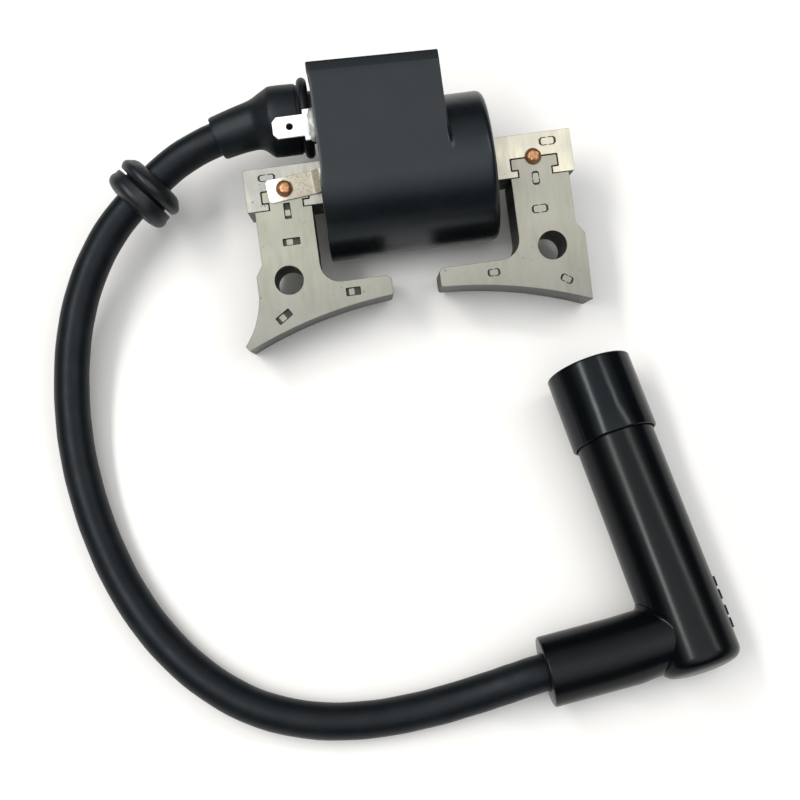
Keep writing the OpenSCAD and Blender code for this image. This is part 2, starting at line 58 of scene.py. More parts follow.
ARM_DIR = (ROUTE[-1] - ROUTE[-2]).normalized()
LEAD_STOP = 12.4
BARREL_R = 8.75
SEAL_R = 9.65
MOUTH_Y = 62.3
CLOSED_Y = -8.6
SEAL_Y = 44.8
SKEW = math.radians(3.4)
TILT = math.asin((SEAL_R - BARREL_R) / (SEAL_Y - CLOSED_Y))
CAP = (Matrix.Scale(MM, 4) @ Matrix.Translation(ROUTE[-1] + LEAD_STOP * ARM_DIR)
       @ Matrix.Rotation(math.atan2(ARM_DIR.y, ARM_DIR.x), 4, "Z") @ Matrix.Rotation(TILT, 4, "X"))
BARREL = CAP @ Matrix.Rotation(SKEW, 4, "Z")


# ---- Mesh tools ----

class Shell:
    """Vertices and faces of one piece; a face keeps the number of its material."""

    def __init__(self):
        self.verts, self.faces, self.mats = [], [], []

    def add(self, points):
        first = len(self.verts)
        self.verts += [Vector(p) for p in points]
        return list(range(first, first + len(points)))

    def face(self, ids, mat=0):
        self.faces.append(tuple(ids))
        self.mats.append(mat)

    def bridge(self, a, b, mat=0, closed=True):
        n = len(a)
        for i in range(n if closed else n - 1):
            j = (i + 1) % n
            self.face((a[i], a[j], b[j], b[i]), mat)

    def fan(self, ring, centre, mat=0):
        tip = self.add([centre])[0]
        for i in range(len(ring)):
            self.face((ring[i], ring[(i + 1) % len(ring)], tip), mat)

    def fill(self, loops, mat=0, flat=None):
        """Fills a flat outline with holes; flat turns a vertex into the two coordinates used."""
        flat = flat or (lambda v: (v.x, v.y, 0))
        ids = [i for loop in loops for i in loop]
        for tri in tessellate_polygon([[Vector(flat(self.verts[i])) for i in loop] for loop in loops]):
            self.face([ids[k] for k in tri], mat)


def piece(name, shell, place, body, materials, nodes=(), sharp=35):
    mesh = bpy.data.meshes.new(name)
    mesh.from_pydata([place @ v for v in shell.verts], [], shell.faces)
    for material in materials:
        mesh.materials.append(material)
    mesh.polygons.foreach_set("material_index", shell.mats)
    bm = bmesh.new()
    bm.from_mesh(mesh)
    bmesh.ops.remove_doubles(bm, verts=bm.verts, dist=2e-7)
    bmesh.ops.dissolve_degenerate(bm, edges=bm.edges, dist=1e-8)
    bmesh.ops.recalc_face_normals(bm, faces=bm.faces)
    bm.to_mesh(mesh)
    bm.free()
    mesh.shade_smooth()
    mesh.set_sharp_from_angle(angle=math.radians(sharp))
    obj = bpy.data.objects.new(name, mesh)
    bpy.context.scene.collection.objects.link(obj)
    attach(obj, body)
    if nodes:
        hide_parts(*nodes)
    return obj


def yz(v):
    """Coordinates of a point as seen along the bar, for Shell.fill."""
    return v.y, v.z, 0


def fillet(points, steps=5):
    """Closed outline whose points may carry a corner radius: (x, y) or (x, y, r)."""
    out = []
    for i, p in enumerate(points):
        corner = Vector(p[:2])
        if len(p) < 3 or p[2] <= 0:
            out.append(corner)
            continue
        a = Vector(points[i - 1][:2]) - corner
        b = Vector(points[(i + 1) % len(points)][:2]) - corner
        half = a.angle(b) / 2
        cut = min(p[2] / math.tan(half), 0.49 * a.length, 0.49 * b.length)
        r = cut * math.tan(half)
        a.normalize()
        b.normalize()
        centre = corner + (a + b).normalized() * r / math.sin(half)
        start, end = corner + a * cut - centre, corner + b * cut - centre
        turn = math.atan2(start.x * end.y - start.y * end.x, start.dot(end))
        for k in range(steps + 1):
            c, s = math.cos(turn * k / steps), math.sin(turn * k / steps)
            out.append(centre + Vector((start.x * c - start.y * s, start.x * s + start.y * c)))
    return out


def area(loop):
    return sum(a.x * b.y - b.x * a.y for a, b in zip(loop, loop[1:] + loop[:1])) / 2


def inset(loop, d):
    """Moves a closed outline inwards by d (outwards if d is negative)."""
    side = 1 if area(loop) > 0 else -1
    out = []
    for i, p in enumerate(loop):
        e, f = (p - loop[i - 1]).normalized(), (loop[(i + 1) % len(loop)] - p).normalized()
        n = Vector((-e.y - f.y, e.x + f.x)) * side
        out.append(p + n * d / max(0.35, 1 + e.dot(f)))
    return out


def ring(n, r, h=0.0):
    angles = [2 * math.pi * i / n for i in range(n)]
    return [Vector((r * math.cos(a), r * math.sin(a), h)) for a in angles]


def lathe(shell, profile, place=Matrix.Identity(4), n=72, mat=0, shape=None):
    """Turns (radius, height) points about the local Z axis; radius 0 closes an end."""
    last = None
    for k, (r, h) in enumerate(profile):
        if r == 0:
            now = shell.add([place @ Vector((0, 0, h))])
        else:
            points = ring(n, r, h)
            now = shell.add([place @ (shape(p, k) if shape else p) for p in points])
        if last is not None:
            if len(last) == 1 or len(now) == 1:
                tip, loop = (last, now) if len(last) == 1 else (now, last)
                for i in range(n):
                    shell.face((loop[i], loop[(i + 1) % n], tip[0]), mat)
            else:
                shell.bridge(last, now, mat)
        last = now


def arc(centre, r, start, end, steps=6):
    """Points of an arc, angles in degrees."""
    return [(centre[0] + r * math.cos(math.radians(start + (end - start) * k / steps)),
             centre[1] + r * math.sin(math.radians(start + (end - start) * k / steps)))
            for k in range(steps + 1)]


def rect(x, y, length, width, turn=0.0, r=0.3):
    """Rounded rectangle round a point, turned by an angle in degrees."""
    a, b = length / 2, width / 2
    c, s = math.cos(math.radians(turn)), math.sin(math.radians(turn))
    return [Vector((x + p.x * c - p.y * s, y + p.x * s + p.y * c))
            for p in fillet([(a, b, r), (-a, b, r), (-a, -b, r), (a, -b, r)], 3)]


def dense(points, steps):
    """Smooth curve through the points (centripetal Catmull-Rom)."""
    ends = [2 * points[0] - points[1]] + points + [2 * points[-1] - points[-2]]
    out = []
    for i in range(1, len(ends) - 2):
        p = ends[i - 1:i + 3]
        t = [0.0]
        for a, b in zip(p, p[1:]):
            t.append(t[-1] + math.sqrt((b - a).length))
        for k in range(steps):
            u = t[1] + (t[2] - t[1]) * k / steps
            a = [p[j].lerp(p[j + 1], (u - t[j]) / (t[j + 1] - t[j])) for j in range(3)]
            b = [a[j].lerp(a[j + 1], (u - t[j]) / (t[j + 2] - t[j])) for j in range(2)]
            out.append(b[0].lerp(b[1], (u - t[1]) / (t[2] - t[1])))
    return out + [points[-1]]


def frames(path):
    """Tangent and two directions across it at each point of a path, with no twist."""
    out, side = [], None
    for i, p in enumerate(path):
        t = (path[min(i + 1, len(path) - 1)] - path[max(i - 1, 0)]).normalized()
        side = Vector((0, 0, 1)) if side is None else side
        side = (side - side.dot(t) * t).normalized()
        out.append((p, t, side, t.cross(side)))
    return out


def tube(shell, path, radii, n=48, mat=0, shape=None):
    """Tube along a path with its own radius at each point, closed at both ends."""
    last = None
    for k, (p, t, u, v) in enumerate(frames(path)):
        points = []
        for i in range(n):
            a = 2 * math.pi * i / n
            r = radii[k] + (shape(k, a) if shape else 0)
            points.append(p + r * (math.cos(a) * u + math.sin(a) * v))
        now = shell.add(points)
        if last is None:
            shell.fan(now, p, mat)
        else:
            shell.bridge(last, now, mat)
        last = now
    shell.fan(last, path[-1], mat)


# ---- Materials ----

def material(name, colour, rough, metal=0.0, spread=0.06, grain=400, bump=0.02, stretch=(1, 1, 1), coat=0.0,
             specks=None, rough_spread=0.1, second=None, second_scale=60, second_at=(0.45, 0.7), spec=0.5,
             painted_light_fade=None, sheen=(1, 1, 1)):
    """Procedural finish: colour and roughness vary with noise, and fine grain bumps the surface. fade is an
    axis, two places along it and the colour that the finish is multiplied by at the second; it paints light
    and shade along that axis."""
    m = bpy.data.materials.new(name)
    m.use_nodes = True
    nodes, links = m.node_tree.nodes, m.node_tree.links
    shader = nodes["Principled BSDF"]
    shader.inputs["Metallic"].default_value = metal
    shader.inputs["Coat Weight"].default_value = coat
    shader.inputs["Coat Roughness"].default_value = 0.12
    shader.inputs["Specular IOR Level"].default_value = spec
    shader.inputs["Specular Tint"].default_value = (*sheen, 1)
    place = nodes.new("ShaderNodeTexCoord")
    mapping = nodes.new("ShaderNodeMapping")
    mapping.inputs["Scale"].default_value = stretch
    links.new(place.outputs["Object"], mapping.inputs["Vector"])

    def field(scale, detail, source=mapping):
        tex = nodes.new("ShaderNodeTexNoise")
        tex.inputs["Scale"].default_value = scale
        tex.inputs["Detail"].default_value = detail
        links.new(source.outputs["Vector" if source is mapping else "Object"], tex.inputs["Vector"])
        return tex.outputs["Fac"]

    def remap(value, low, high, start=0.3, end=0.7):
        node = nodes.new("ShaderNodeMapRange")
        node.inputs["From Min"].default_value = start
        node.inputs["From Max"].default_value = end
        node.inputs["To Min"].default_value = low
        node.inputs["To Max"].default_value = high
        links.new(value, node.inputs["Value"])
        return node.outputs["Result"]

    def mix(factor, a, b):
        node = nodes.new("ShaderNodeMix")
        node.data_type = "RGBA"
        links.new(factor, node.inputs["Factor"])
        for socket, value in (("A", a), ("B", b)):
            target = [s for s in node.inputs if s.name == socket and s.type == "RGBA"][0]
            if isinstance(value, (tuple, list)):
                target.default_value = (*value, 1)
            else:
                links.new(value, target)
        return [s for s in node.outputs if s.type == "RGBA"][0]

    low = tuple(c * (1 - spread) for c in colour)
    high = tuple(min(1, c * (1 + spread)) for c in colour)
    fine = field(grain, 6)
    shade = mix(remap(fine, 0, 1), low, high)
    if second:
        shade = mix(remap(field(second_scale, 4, place), 0, 1, *second_at), shade, second)
    if specks:
        shade = mix(remap(field(specks[1], 3, place), 0, 1, specks[2], specks[2] + 0.06), shade, specks[0])
    if painted_light_fade:
        split = nodes.new("ShaderNodeSeparateXYZ")
        links.new(place.outputs["Object"], split.inputs["Vector"])
        tint = mix(remap(split.outputs[painted_light_fade[0]], 0, 1, painted_light_fade[1], painted_light_fade[2]), (1, 1, 1), painted_light_fade[3])
        product = nodes.new("ShaderNodeMix")
        product.data_type, product.blend_type = "RGBA", "MULTIPLY"
        product.inputs["Factor"].default_value = 1
        a, b = [k for k in product.inputs if k.type == "RGBA"]
        links.new(shade, a)
        links.new(tint, b)
        shade = [k for k in product.outputs if k.type == "RGBA"][0]
    links.new(shade, shader.inputs["Base Color"])
    links.new(remap(field(grain / 5, 4), rough * (1 - rough_spread), rough * (1 + rough_spread)),
              shader.inputs["Roughness"])
    bumper = nodes.new("ShaderNodeBump")
    bumper.inputs["Strength"].default_value = 1
    bumper.inputs["Distance"].default_value = bump * MM
    links.new(fine, bumper.inputs["Height"])
    links.new(bumper.outputs["Normal"], shader.inputs["Normal"])
    return m


COLD = (0.84, 0.94, 1.0)
PLASTIC = material("housing_black", (0.0030, 0.0046, 0.0060), 0.30, spec=0.34, sheen=COLD, grain=2600,
                   bump=0.012, spread=0.10, second=(0.006, 0.007, 0.0078), second_scale=90)
BAND = material("housing_band", (0.0036, 0.005, 0.0065), 0.42, grain=2200, bump=0.02, spread=0.12, spec=0.26,
                sheen=COLD)
RESIN = material("resin", (0.10, 0.105, 0.10), 0.25, grain=500, bump=0.05, spread=0.3, coat=0.4)
MENISCUS = material("resin_pale", (0.50, 0.52, 0.50), 0.22, grain=420, bump=0.08, spread=0.12, coat=0.5,
                    second=(0.20, 0.21, 0.20), second_scale=330)
# The legs' steel: painted shade darkens it towards the pole shoes, down to (0.68, 0.68, 0.73) of its colour.
STEEL_WITH_PAINTED_SHADE = material("lamination", (0.258, 0.257, 0.214), 0.40, metal=0.55, grain=520, bump=0.02, spread=0.08,
                 stretch=(1.6, 0.12, 1), second=(0.286, 0.284, 0.24), second_scale=110,
                 specks=((0.08, 0.075, 0.07), 900, 0.70), painted_light_fade=("Y", -0.012, -0.036, (0.68, 0.68, 0.73)))
# Near-black floor of the dimples and marks: painted shade in the recesses.
PIT_PAINTED_SHADE = material("lamination_pit_painted_shade", (0.028, 0.028, 0.026), 0.6, metal=0.3, grain=700, bump=0.05, spread=0.3)
# Cut edges of the sheets: their own rough grain, painted darker than the faces as shade on the stack's walls.
CUT_EDGE_AND_SHADE = material("lamination_edge_and_painted_shade", (0.088, 0.088, 0.084), 0.45, metal=0.7, grain=700, bump=0.05, spread=0.35,
               stretch=(1, 1, 3))
# The bar's steel: a lit copy of the legs' steel, painted lighter, with painted shade darkening it towards the
# left end.
PAINTED_LIT_STEEL = material("lamination_painted_light", (0.52, 0.495, 0.40), 0.36, metal=0.6, grain=520, bump=0.02,
                  spread=0.16, stretch=(1.6, 0.12, 1), second=(0.42, 0.405, 0.34), second_scale=120,
                  specks=((0.13, 0.12, 0.11), 900, 0.70), painted_light_fade=("X", 0.02, -0.02, (0.61, 0.64, 0.71)))
COPPER = material("copper", (0.35, 0.18, 0.09), 0.38, metal=0.9, grain=1500, bump=0.04, spread=0.12)
# The strap's left end is a painted highlight, near-white, fading past the rivet to the strap's tan colour.
STRAP_WITH_PAINTED_HIGHLIGHT = material("tinned_strap", (0.92, 0.90, 0.85), 0.42, metal=0.3, grain=1500, bump=0.03, spread=0.08,
                 second=(0.64, 0.58, 0.50), second_scale=2300, second_at=(0.5, 0.66),
                 painted_light_fade=("X", -0.0285, -0.0255, (0.43, 0.41, 0.35)))
BLADE = material("tinned_blade", (0.95, 0.95, 0.94), 0.35, metal=0.1, grain=900, bump=0.01, spread=0.03,
                 stretch=(0.2, 2, 1))
BOOT = material("boot_rubber", (0.0045, 0.006, 0.0075), 0.44, spec=0.22, sheen=COLD, grain=900, bump=0.03,
                spread=0.15, second=(0.0075, 0.009, 0.0105), second_scale=200)
LEAD = material("lead_rubber", (0.0036, 0.0049, 0.0064), 0.42, spec=0.16, sheen=COLD, grain=1300, bump=0.03,
                spread=0.12, second=(0.0065, 0.008, 0.010), second_scale=160)
GROMMET = material("grommet_rubber", (0.0055, 0.0065, 0.008), 0.42, spec=0.36, sheen=COLD, grain=1100,
                   bump=0.03, spread=0.15, second=(0.011, 0.0125, 0.014), second_scale=260)
GLOSS = material("cap_black", (0.0012, 0.0019, 0.0027), 0.23, grain=260, bump=0.03, spread=0.2,
                 rough_spread=0.3, stretch=(1, 0.25, 1), spec=0.17, sheen=(0.96, 0.98, 1.0))
SEAL = material("cap_rubber", (0.0018, 0.0026, 0.0034), 0.20, grain=320, bump=0.04, spread=0.2,
                rough_spread=0.3, stretch=(1, 0.3, 1), spec=0.20, sheen=COLD)
FLOOR = material("table", (0.78, 0.78, 0.775), 0.7, grain=60, bump=0.0, spread=0.006, spec=0.2)

INNER = {
    "primary_bobbin": material("bobbin_tube", (0.60, 0.55, 0.42), 0.5),
    "secondary_bobbin": material("bobbin_cells", (0.56, 0.54, 0.46), 0.5),
    "primary_winding": material("thick_wire", (0.42, 0.14, 0.05), 0.3, metal=0.6, grain=900,
                                stretch=(8, 1, 1), bump=0.2),
    "secondary_winding": material("fine_wire", (0.34, 0.10, 0.03), 0.3, metal=0.5, grain=1500,
                                  stretch=(9, 1, 1), bump=0.1),
    "circuit_board": material("board", (0.05, 0.20, 0.08), 0.4, grain=900, coat=0.4),
    "power_transistor": material("transistor_case", (0.02, 0.02, 0.022), 0.55, grain=1500, bump=0.05),
    "control_chip": material("chip_case", (0.015, 0.015, 0.017), 0.6, grain=1800, bump=0.05),
    "board_resistors": material("resistor_body", (0.50, 0.40, 0.22), 0.5, grain=900),
    "board_capacitor": material("capacitor_case", (0.55, 0.24, 0.03), 0.25, grain=700, coat=0.5),
    "primary_leads": material("wire_ends", (0.45, 0.16, 0.06), 0.3, metal=0.7),
    "board_wires": material("wire_sleeve", (0.40, 0.02, 0.015), 0.35, grain=900),
    "hv_terminal": material("terminal_brass", (0.60, 0.42, 0.15), 0.3, metal=0.9, grain=800),
    "hv_tower": material("tower_black", (0.02, 0.021, 0.023), 0.5, grain=900),
    "lead_conductor": material("strands", (0.60, 0.26, 0.12), 0.35, metal=0.9, grain=1500, bump=0.1),
    "cap_screw": material("screw_brass", (0.62, 0.45, 0.17), 0.3, metal=0.9, grain=800),
    "cap_resistor": material("ceramic", (0.66, 0.62, 0.52), 0.5, grain=700),
    "cap_spring": material("spring_wire", (0.55, 0.55, 0.53), 0.3, metal=0.9, grain=900),
    "cap_contact": material("contact_brass", (0.60, 0.43, 0.16), 0.28, metal=0.9, grain=700),
}
for name, finish in INNER.items():
    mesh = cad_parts[name].data
    mesh.materials.clear()
    mesh.materials.append(finish)

# ---- Camera ----

camera = bpy.data.objects.new("camera", bpy.data.cameras.new("camera"))
bpy.context.scene.collection.objects.link(camera)
camera.data.lens = 57.6
camera.data.sensor_width = 36
camera.data.clip_start, camera.data.clip_end = 0.01, 10
right, up = Vector((0.990627, -0.135197, -0.019494)), Vector((0.134876, 0.945590, 0.296089))
camera.matrix_world = (Matrix.Translation(Vector((-13.165, -132.528, 284.712)) * MM)
                       @ Matrix((right, up, right.cross(up))).transposed().to_4x4())
bpy.context.scene.camera = camera
bpy.context.scene.view_settings.view_transform = "Standard"

# ---- Plug lead, from the tower to the cap ----

lead_line = dense(ROUTE, 8)


def lead_shape(k, a):
    """The jacket is not quite round: a few flats and slow swells along it."""
    swell = 0.02 * math.sin(k * 0.9 + lead_line[k].x * 0.1)
    return 0.05 * noise.noise(Vector((k * 0.05, math.cos(a), math.sin(a)))) + swell


shell = Shell()
tube(shell, lead_line, [3.96] * len(lead_line), 56, shape=lead_shape)
lead = piece("lead", shell, Matrix.Scale(MM, 4), "coil", [LEAD], ["hv_lead"])
lead_length = sum((b - a).length for a, b in zip(lead_line, lead_line[1:])) * MM

# ---- Laminated core ----

STACK = 7.2
HOLE_X, HOLE_Y, HOLE_R = 30, -21, 3.25


def stack(shell, outline, holes=(), pockets=(), low=-STACK, high=STACK, sheets=29, edge=0.08, top=0, cut=1):
    """Stack of punched sheets: bevelled faces, a fine groove between sheets on every cut edge."""
    pitch = (high - low) / sheets
    levels = [(low, edge), (low + edge, 0)]
    for k in range(1, sheets):
        z = low + k * pitch
        depth = 0.035 + 0.03 * (noise.noise(Vector((k * 1.7, 0.3, 0))) > 0)
        levels += [(z - 0.07, 0), (z, depth), (z + 0.07, 0)]
    levels += [(high - edge, 0), (high, edge)]
    ends = []
    for loop, sign in [(outline, 1)] + [(h, -1) for h in holes]:
        rings = [shell.add([(p.x, p.y, z) for p in inset(loop, sign * d)]) for z, d in levels]
        for i in range(len(rings) - 1):
            shell.bridge(rings[i], rings[i + 1], top if i in (0, len(rings) - 2) else cut)
        ends.append((rings[0], rings[-1]))
    shell.fill([e[0] for e in ends], top)
    mouths = []
    for loop, depth, mat in pockets:
        mouth = shell.add([(p.x, p.y, high) for p in loop])
        floor = shell.add([(p.x, p.y, high - depth) for p in inset(loop, 0.04)])
        shell.bridge(mouth, floor, mat)
        shell.fill([floor], mat)
        mouths.append(mouth)
    shell.fill([e[1] for e in ends] + mouths, top)


def bridge_block(shell, x, y, length, width, turn):
    """Raised middle of an interlock dimple, with sloping ends, nearer to one end of it."""
    sections = [(STACK - 0.8, 0.5), (STACK - 0.5, 0.38), (STACK - 0.42, 0.34)]
    a = math.radians(turn)
    x, y = x - 0.11 * length * math.cos(a), y - 0.11 * length * math.sin(a)
    rings = []
    for z, share in sections:
        rings.append(shell.add([(p.x, p.y, z) for p in rect(x, y, length * share, width * 0.74, turn, 0.08)]))
    shell.fill([rings[0]], 1)
    for a, b in zip(rings, rings[1:]):
        shell.bridge(a, b, 0)
    shell.fill([rings[-1]], 0)


def bracket(x, y, length, width, turn, end):
    """One half of a flush interlock mark: a thin U-shaped groove, deep and wider at the end."""
    a, b, g, lap = length / 2, width / 2, 0.2, length * 0.05
    shape = [(lap, b), (a * 0.72, b), (a, b * 0.5), (a, -b * 0.5), (a * 0.72, -b), (lap, -b),
             (lap, -b + g), (a * 0.72 - g, -b + g), (a - 0.5, -b * 0.4), (a - 0.5, b * 0.4),
             (a * 0.72 - g, b - g), (lap, b - g)]
    c, s = math.cos(math.radians(turn)), math.sin(math.radians(turn))
    return [Vector((x + end * px * c - py * s, y + end * px * s + py * c)) for px, py in shape]


# Dimples and flush marks are floored with material 2, the near-black painted shade.
def dimples(marks):
    return [(rect(*m, r=0.25), 0.8, 2) for m in marks]


def flush(marks):
    return [(bracket(*m, end), 0.35, 2) for m in marks for end in (1, -1)]


SEAM = 0.24
TEE_X, HEAD, NECK, HEAD_TOP, HEAD_LOW, EDGE_Y, SHOULDER = 28.4, 5.2, 3.75, -0.7, -3.15, -4.8, -4.95


def tee(grow, side, edge):
    """T head's corners from the outer end to the inner one, for the leg on that side."""
    h, n, t, b = HEAD + grow, NECK + grow, HEAD_TOP + grow, HEAD_LOW - grow
    points = [(n, edge), (n, b, 0.12), (h, b, 0.25), (h, t, 0.25), (-h, t, 0.25), (-h, b, 0.25),
              (-n, b, 0.12), (-n, edge)]
    return [(side * (TEE_X + p[0]), *p[1:]) for p in points]


bar_outline = fillet([(-37.3, 4.8, 0.2), (-37.3, -4.8, 0.2), *tee(SEAM, -1, EDGE_Y),
                      *reversed(tee(SEAM, 1, EDGE_Y)),
                      (37.3, -4.8, 0.2), (37.3, 4.8, 0.2)], 3)
shell = Shell()
stack(shell, bar_outline, pockets=flush([(-32, 2.55, 4, 1.6, 0), (32, 2.55, 3.9, 1.9, 0)]))
piece("bar", shell, COIL, "coil", [PAINTED_LIT_STEEL, CUT_EDGE_AND_SHADE, PIT_PAINTED_SHADE], ["core_bar"])

ARC_Y, ARC_R = -127, 100


def pole_arc(x0, x1, steps=28):
    return [(x0 + (x1 - x0) * k / steps, ARC_Y + math.sqrt(ARC_R ** 2 - (x0 + (x1 - x0) * k / steps) ** 2))
            for k in range(steps + 1)]


def leg_outline(side, outer, tip):
    inner, shoe = 22.7, -22.8
    points = [(side * inner, SHOULDER, 0.15), *reversed(tee(0, side, SHOULDER)), *outer]
    points += pole_arc(outer[-1][0], side * tip)[1:-1]
    end = pole_arc(side * tip, side * tip, 1)[0]
    points += [(side * tip, end[1], 0.9), (side * tip, shoe, 1.2), (side * inner, shoe, 4.5)]
    return fillet(points, 6)


shell = Shell()
outer = [(35.9, SHOULDER, 0.2), (35.9, -16.6, 1), (37.7, -19.2, 1)]
outer.append((37.45, ARC_Y + math.sqrt(ARC_R ** 2 - 37.45 ** 2)))
hole = [Vector((HOLE_X + p.x, HOLE_Y + p.y)) for p in ring(56, HOLE_R)]
right_marks = [(28.3, -5.45, 3.2, 1.7, 90), (28.3, -12.45, 3.8, 1.9, 0), (16, -25.4, 2.9, 1.7, 0),
               (32.2, -29, 3, 1.7, -33)]
stack(shell, leg_outline(1, outer, 3.8), [hole], flush(right_marks))
piece("leg_right", shell, COIL, "coil", [STEEL_WITH_PAINTED_SHADE, CUT_EDGE_AND_SHADE, PIT_PAINTED_SHADE], ["right_leg"])

shell = Shell()
tail = arc((-56.6, -22.2), 19.4, 0, -math.degrees(math.acos(14.9 / 19.4)), 14)
ragged = [(x + 0.12 * noise.noise(Vector((0, y * 1.3, 2))), y) for x, y in tail[1:]]
outer = [(-35.6, SHOULDER, 0.2), (-35.6, -16.8, 1), (-37.2, -19.4, 1), *ragged, (-40.9, -35.75)]
outer.append((-39.9, ARC_Y + math.sqrt(ARC_R ** 2 - 39.9 ** 2)))
hole = [Vector((-p.x, p.y)) for p in hole]
left_marks = [(-28.3, -5.45, 3.7, 1.6, 90), (-28.3, -12.45, 4, 1.7, 0), (-16, -25.4, 3.4, 1.9, 0),
              (-32.2, -29, 3.8, 1.9, 33)]
stack(shell, leg_outline(-1, outer, 7.1), [hole], dimples(left_marks))
for mark in left_marks:
    bridge_block(shell, *mark)
piece("leg_left", shell, COIL, "coil", [STEEL_WITH_PAINTED_SHADE, CUT_EDGE_AND_SHADE, PIT_PAINTED_SHADE], ["left_leg"])

# ---- Rivets, strap and blade ----

RIVET_X, RIVET_Y = 28.3, -0.5
STRAP_END, STRAP_HALF, STRAP_THICK, STRAP_CORNER = -32.2, 2.65, 0.5, 0.8


def rivet(name, x, top, node):
    dome = [(0, -STACK - 1.1), (0.9, -8.2), (1.5, -7.85), (1.85, -7.3), (1.85, -7.1), (1.3, -7.1),
            (1.3, top - 0.1), (1.85, top - 0.02), (1.9, top + 0.1), (1.84, top + 0.34), (1.66, top + 0.6),
            (1.36, top + 0.85), (1.1, top + 1.0), (0.95, top + 1.06), (0.4, top + 1.1), (0, top + 1.1)]
    shell = Shell()
    lathe(shell, dome, Matrix.Translation((x, RIVET_Y, 0)), 40,
          shape=lambda p, k: p * (1 + 0.02 * noise.noise(Vector((p.x * 2, p.y * 2, p.z + x)))))
    piece(name, shell, COIL, "coil", [COPPER], [node], sharp=50)


rivet("rivet_left", -RIVET_X, STACK + STRAP_THICK, "strap_rivet")
rivet("rivet_right", RIVET_X, STACK, "lock_rivet")

shell = Shell()
turn = (Matrix.Translation((-RIVET_X, RIVET_Y, 0)) @ Matrix.Rotation(math.radians(5), 4, "Z")
        @ Matrix.Translation((RIVET_X, 0, 0)))
line = [(STRAP_END + STRAP_CORNER * (1 - math.cos(math.radians(a))), STACK) for a in range(0, 91, 15)]
line += [(-26, STACK), (-23, STACK), (-22.0, STACK), (-21.7, 7.24), (-21.4, 7.42), (-20.4, 8.42),
         (-20.1, 8.72), (-19.7, 8.88), (-19.2, 8.9), (-14.6, 8.9)]
last = None
for x, z in line:
    into = STRAP_CORNER - min(STRAP_CORNER, x - STRAP_END)
    half = STRAP_HALF - STRAP_CORNER + math.sqrt(max(0, STRAP_CORNER ** 2 - into ** 2))
    section = fillet([(-half, z, 0.12), (half, z, 0.12), (half, z + STRAP_THICK, 0.15),
                      (-half, z + STRAP_THICK, 0.15)], 3)
    now = shell.add([turn @ Vector((x, p.x, p.y)) for p in section])
    if last is None:
        shell.fill([now], flat=yz)
    else:
        shell.bridge(last, now)
    last = now
shell.fill([last], flat=yz)
piece("strap", shell, COIL, "coil", [STRAP_WITH_PAINTED_HIGHLIGHT], ["ground_strap"])

shell = Shell()
blade_outline = fillet([(-28, 2.4, 0.25), (-29, 1.4, 0.25), (-29, -1.4, 0.25), (-28, -2.4, 0.25),
                        (-22, -2.4, 0.2), (-22, -3.45, 0.2), (-18, -3.45), (-18, -2.4), (-14.6, -2.4),
                        (-14.6, 2.4), (-18, 2.4), (-18, 3.45), (-22, 3.45, 0.2), (-22, 2.4, 0.2)], 3)
BLADE_EYE_X, BLADE_EYE_R = -25.2, 0.8
eye = [Vector((BLADE_EYE_X + p.x, p.y)) for p in ring(24, BLADE_EYE_R)]
stack(shell, blade_outline, [eye], low=-0.4, high=0.4, sheets=1, edge=0.1, cut=0)
piece("blade", shell, COIL @ Matrix.Translation((0, 12.5, 10.5)), "coil", [BLADE],
      ["kill_terminal"])

# ---- Housing ----

R, WALL, BOX_TOP, BOX_END, END_X = 17.2, 1.7, 24.8, 9.4, 19.0
BAND_Y = 2.3
SLOPE = [(BAND_Y, 0), (2.2, 0.015), (1.4, 0.2), (0.6, 0.4), (0.25, 0.5), (0.1, 0.58), (0.02, 0.7), (0, 0.9)]


def tomb(grow, top, n=40):
    """Cross-section of the housing: half circle below, circuit box with sloped edges above."""
    r = R + grow
    low = [Vector((-r * math.sin(math.pi * k / n), r * math.cos(math.pi * k / n))) for k in range(n + 1)]
    side = [Vector(((top - BAND_Y) * k / 14, -r)) for k in range(1, 14)]
    bend = [Vector((top - y, z - r)) for y, z in SLOPE]
    over = [Vector((top, (r - SLOPE[-1][1]) * (k / 6 - 1))) for k in range(1, 12)]
    other = [Vector((p.x, -p.y)) for p in reversed(side + bend)]
    return low + side + bend + over + other


def is_low(p):
    return p.x <= 1e-6


def circle_of(loop, r):
    return [p.normalized() * r for p in loop]


def at(x, loop):
    """Loop in the cross-section at a place along the bar; x is a number or a function of the point."""
    return [Vector((x(p) if callable(x) else x, p.x, p.y)) for p in loop]


def top_at(x):
    return BOX_TOP - 0.9 * (x + 19.4) / (BOX_END + 19.4)


def open_edge(p):
    """The round part reaches 0.6 mm further than the box, and the box's sloped edge 0.4 mm."""
    return -20 + 0.6 * min(1, max(0, (p.x + 2) / 4)) - 0.4 * (p.x > BOX_TOP - BAND_Y - 0.3)


def skin(x, drop=0.0):
    return tomb(-drop, top_at(x) - drop)


shell = Shell()
rings = []
outer_lip = [(0.35, 0.0), (0.12, 0.06), (0.0, 0.3)]
for dx, drop in [(0.9, WALL)] + [(0.3, WALL), (0.06, WALL - 0.12), (0.0, WALL - 0.4)] + outer_lip[::-1]:
    rings.append(shell.add(at(lambda p, dx=dx: open_edge(p) + dx, skin(-19.4, drop))))
inner_mouth = rings[0]
for x in (-18.6, -17, -13, -8, -3, 2, 5):
    rings.append(shell.add(at(x, skin(x))))
box = skin(BOX_END)
EDGE, FOOT = 0.3, 0.6


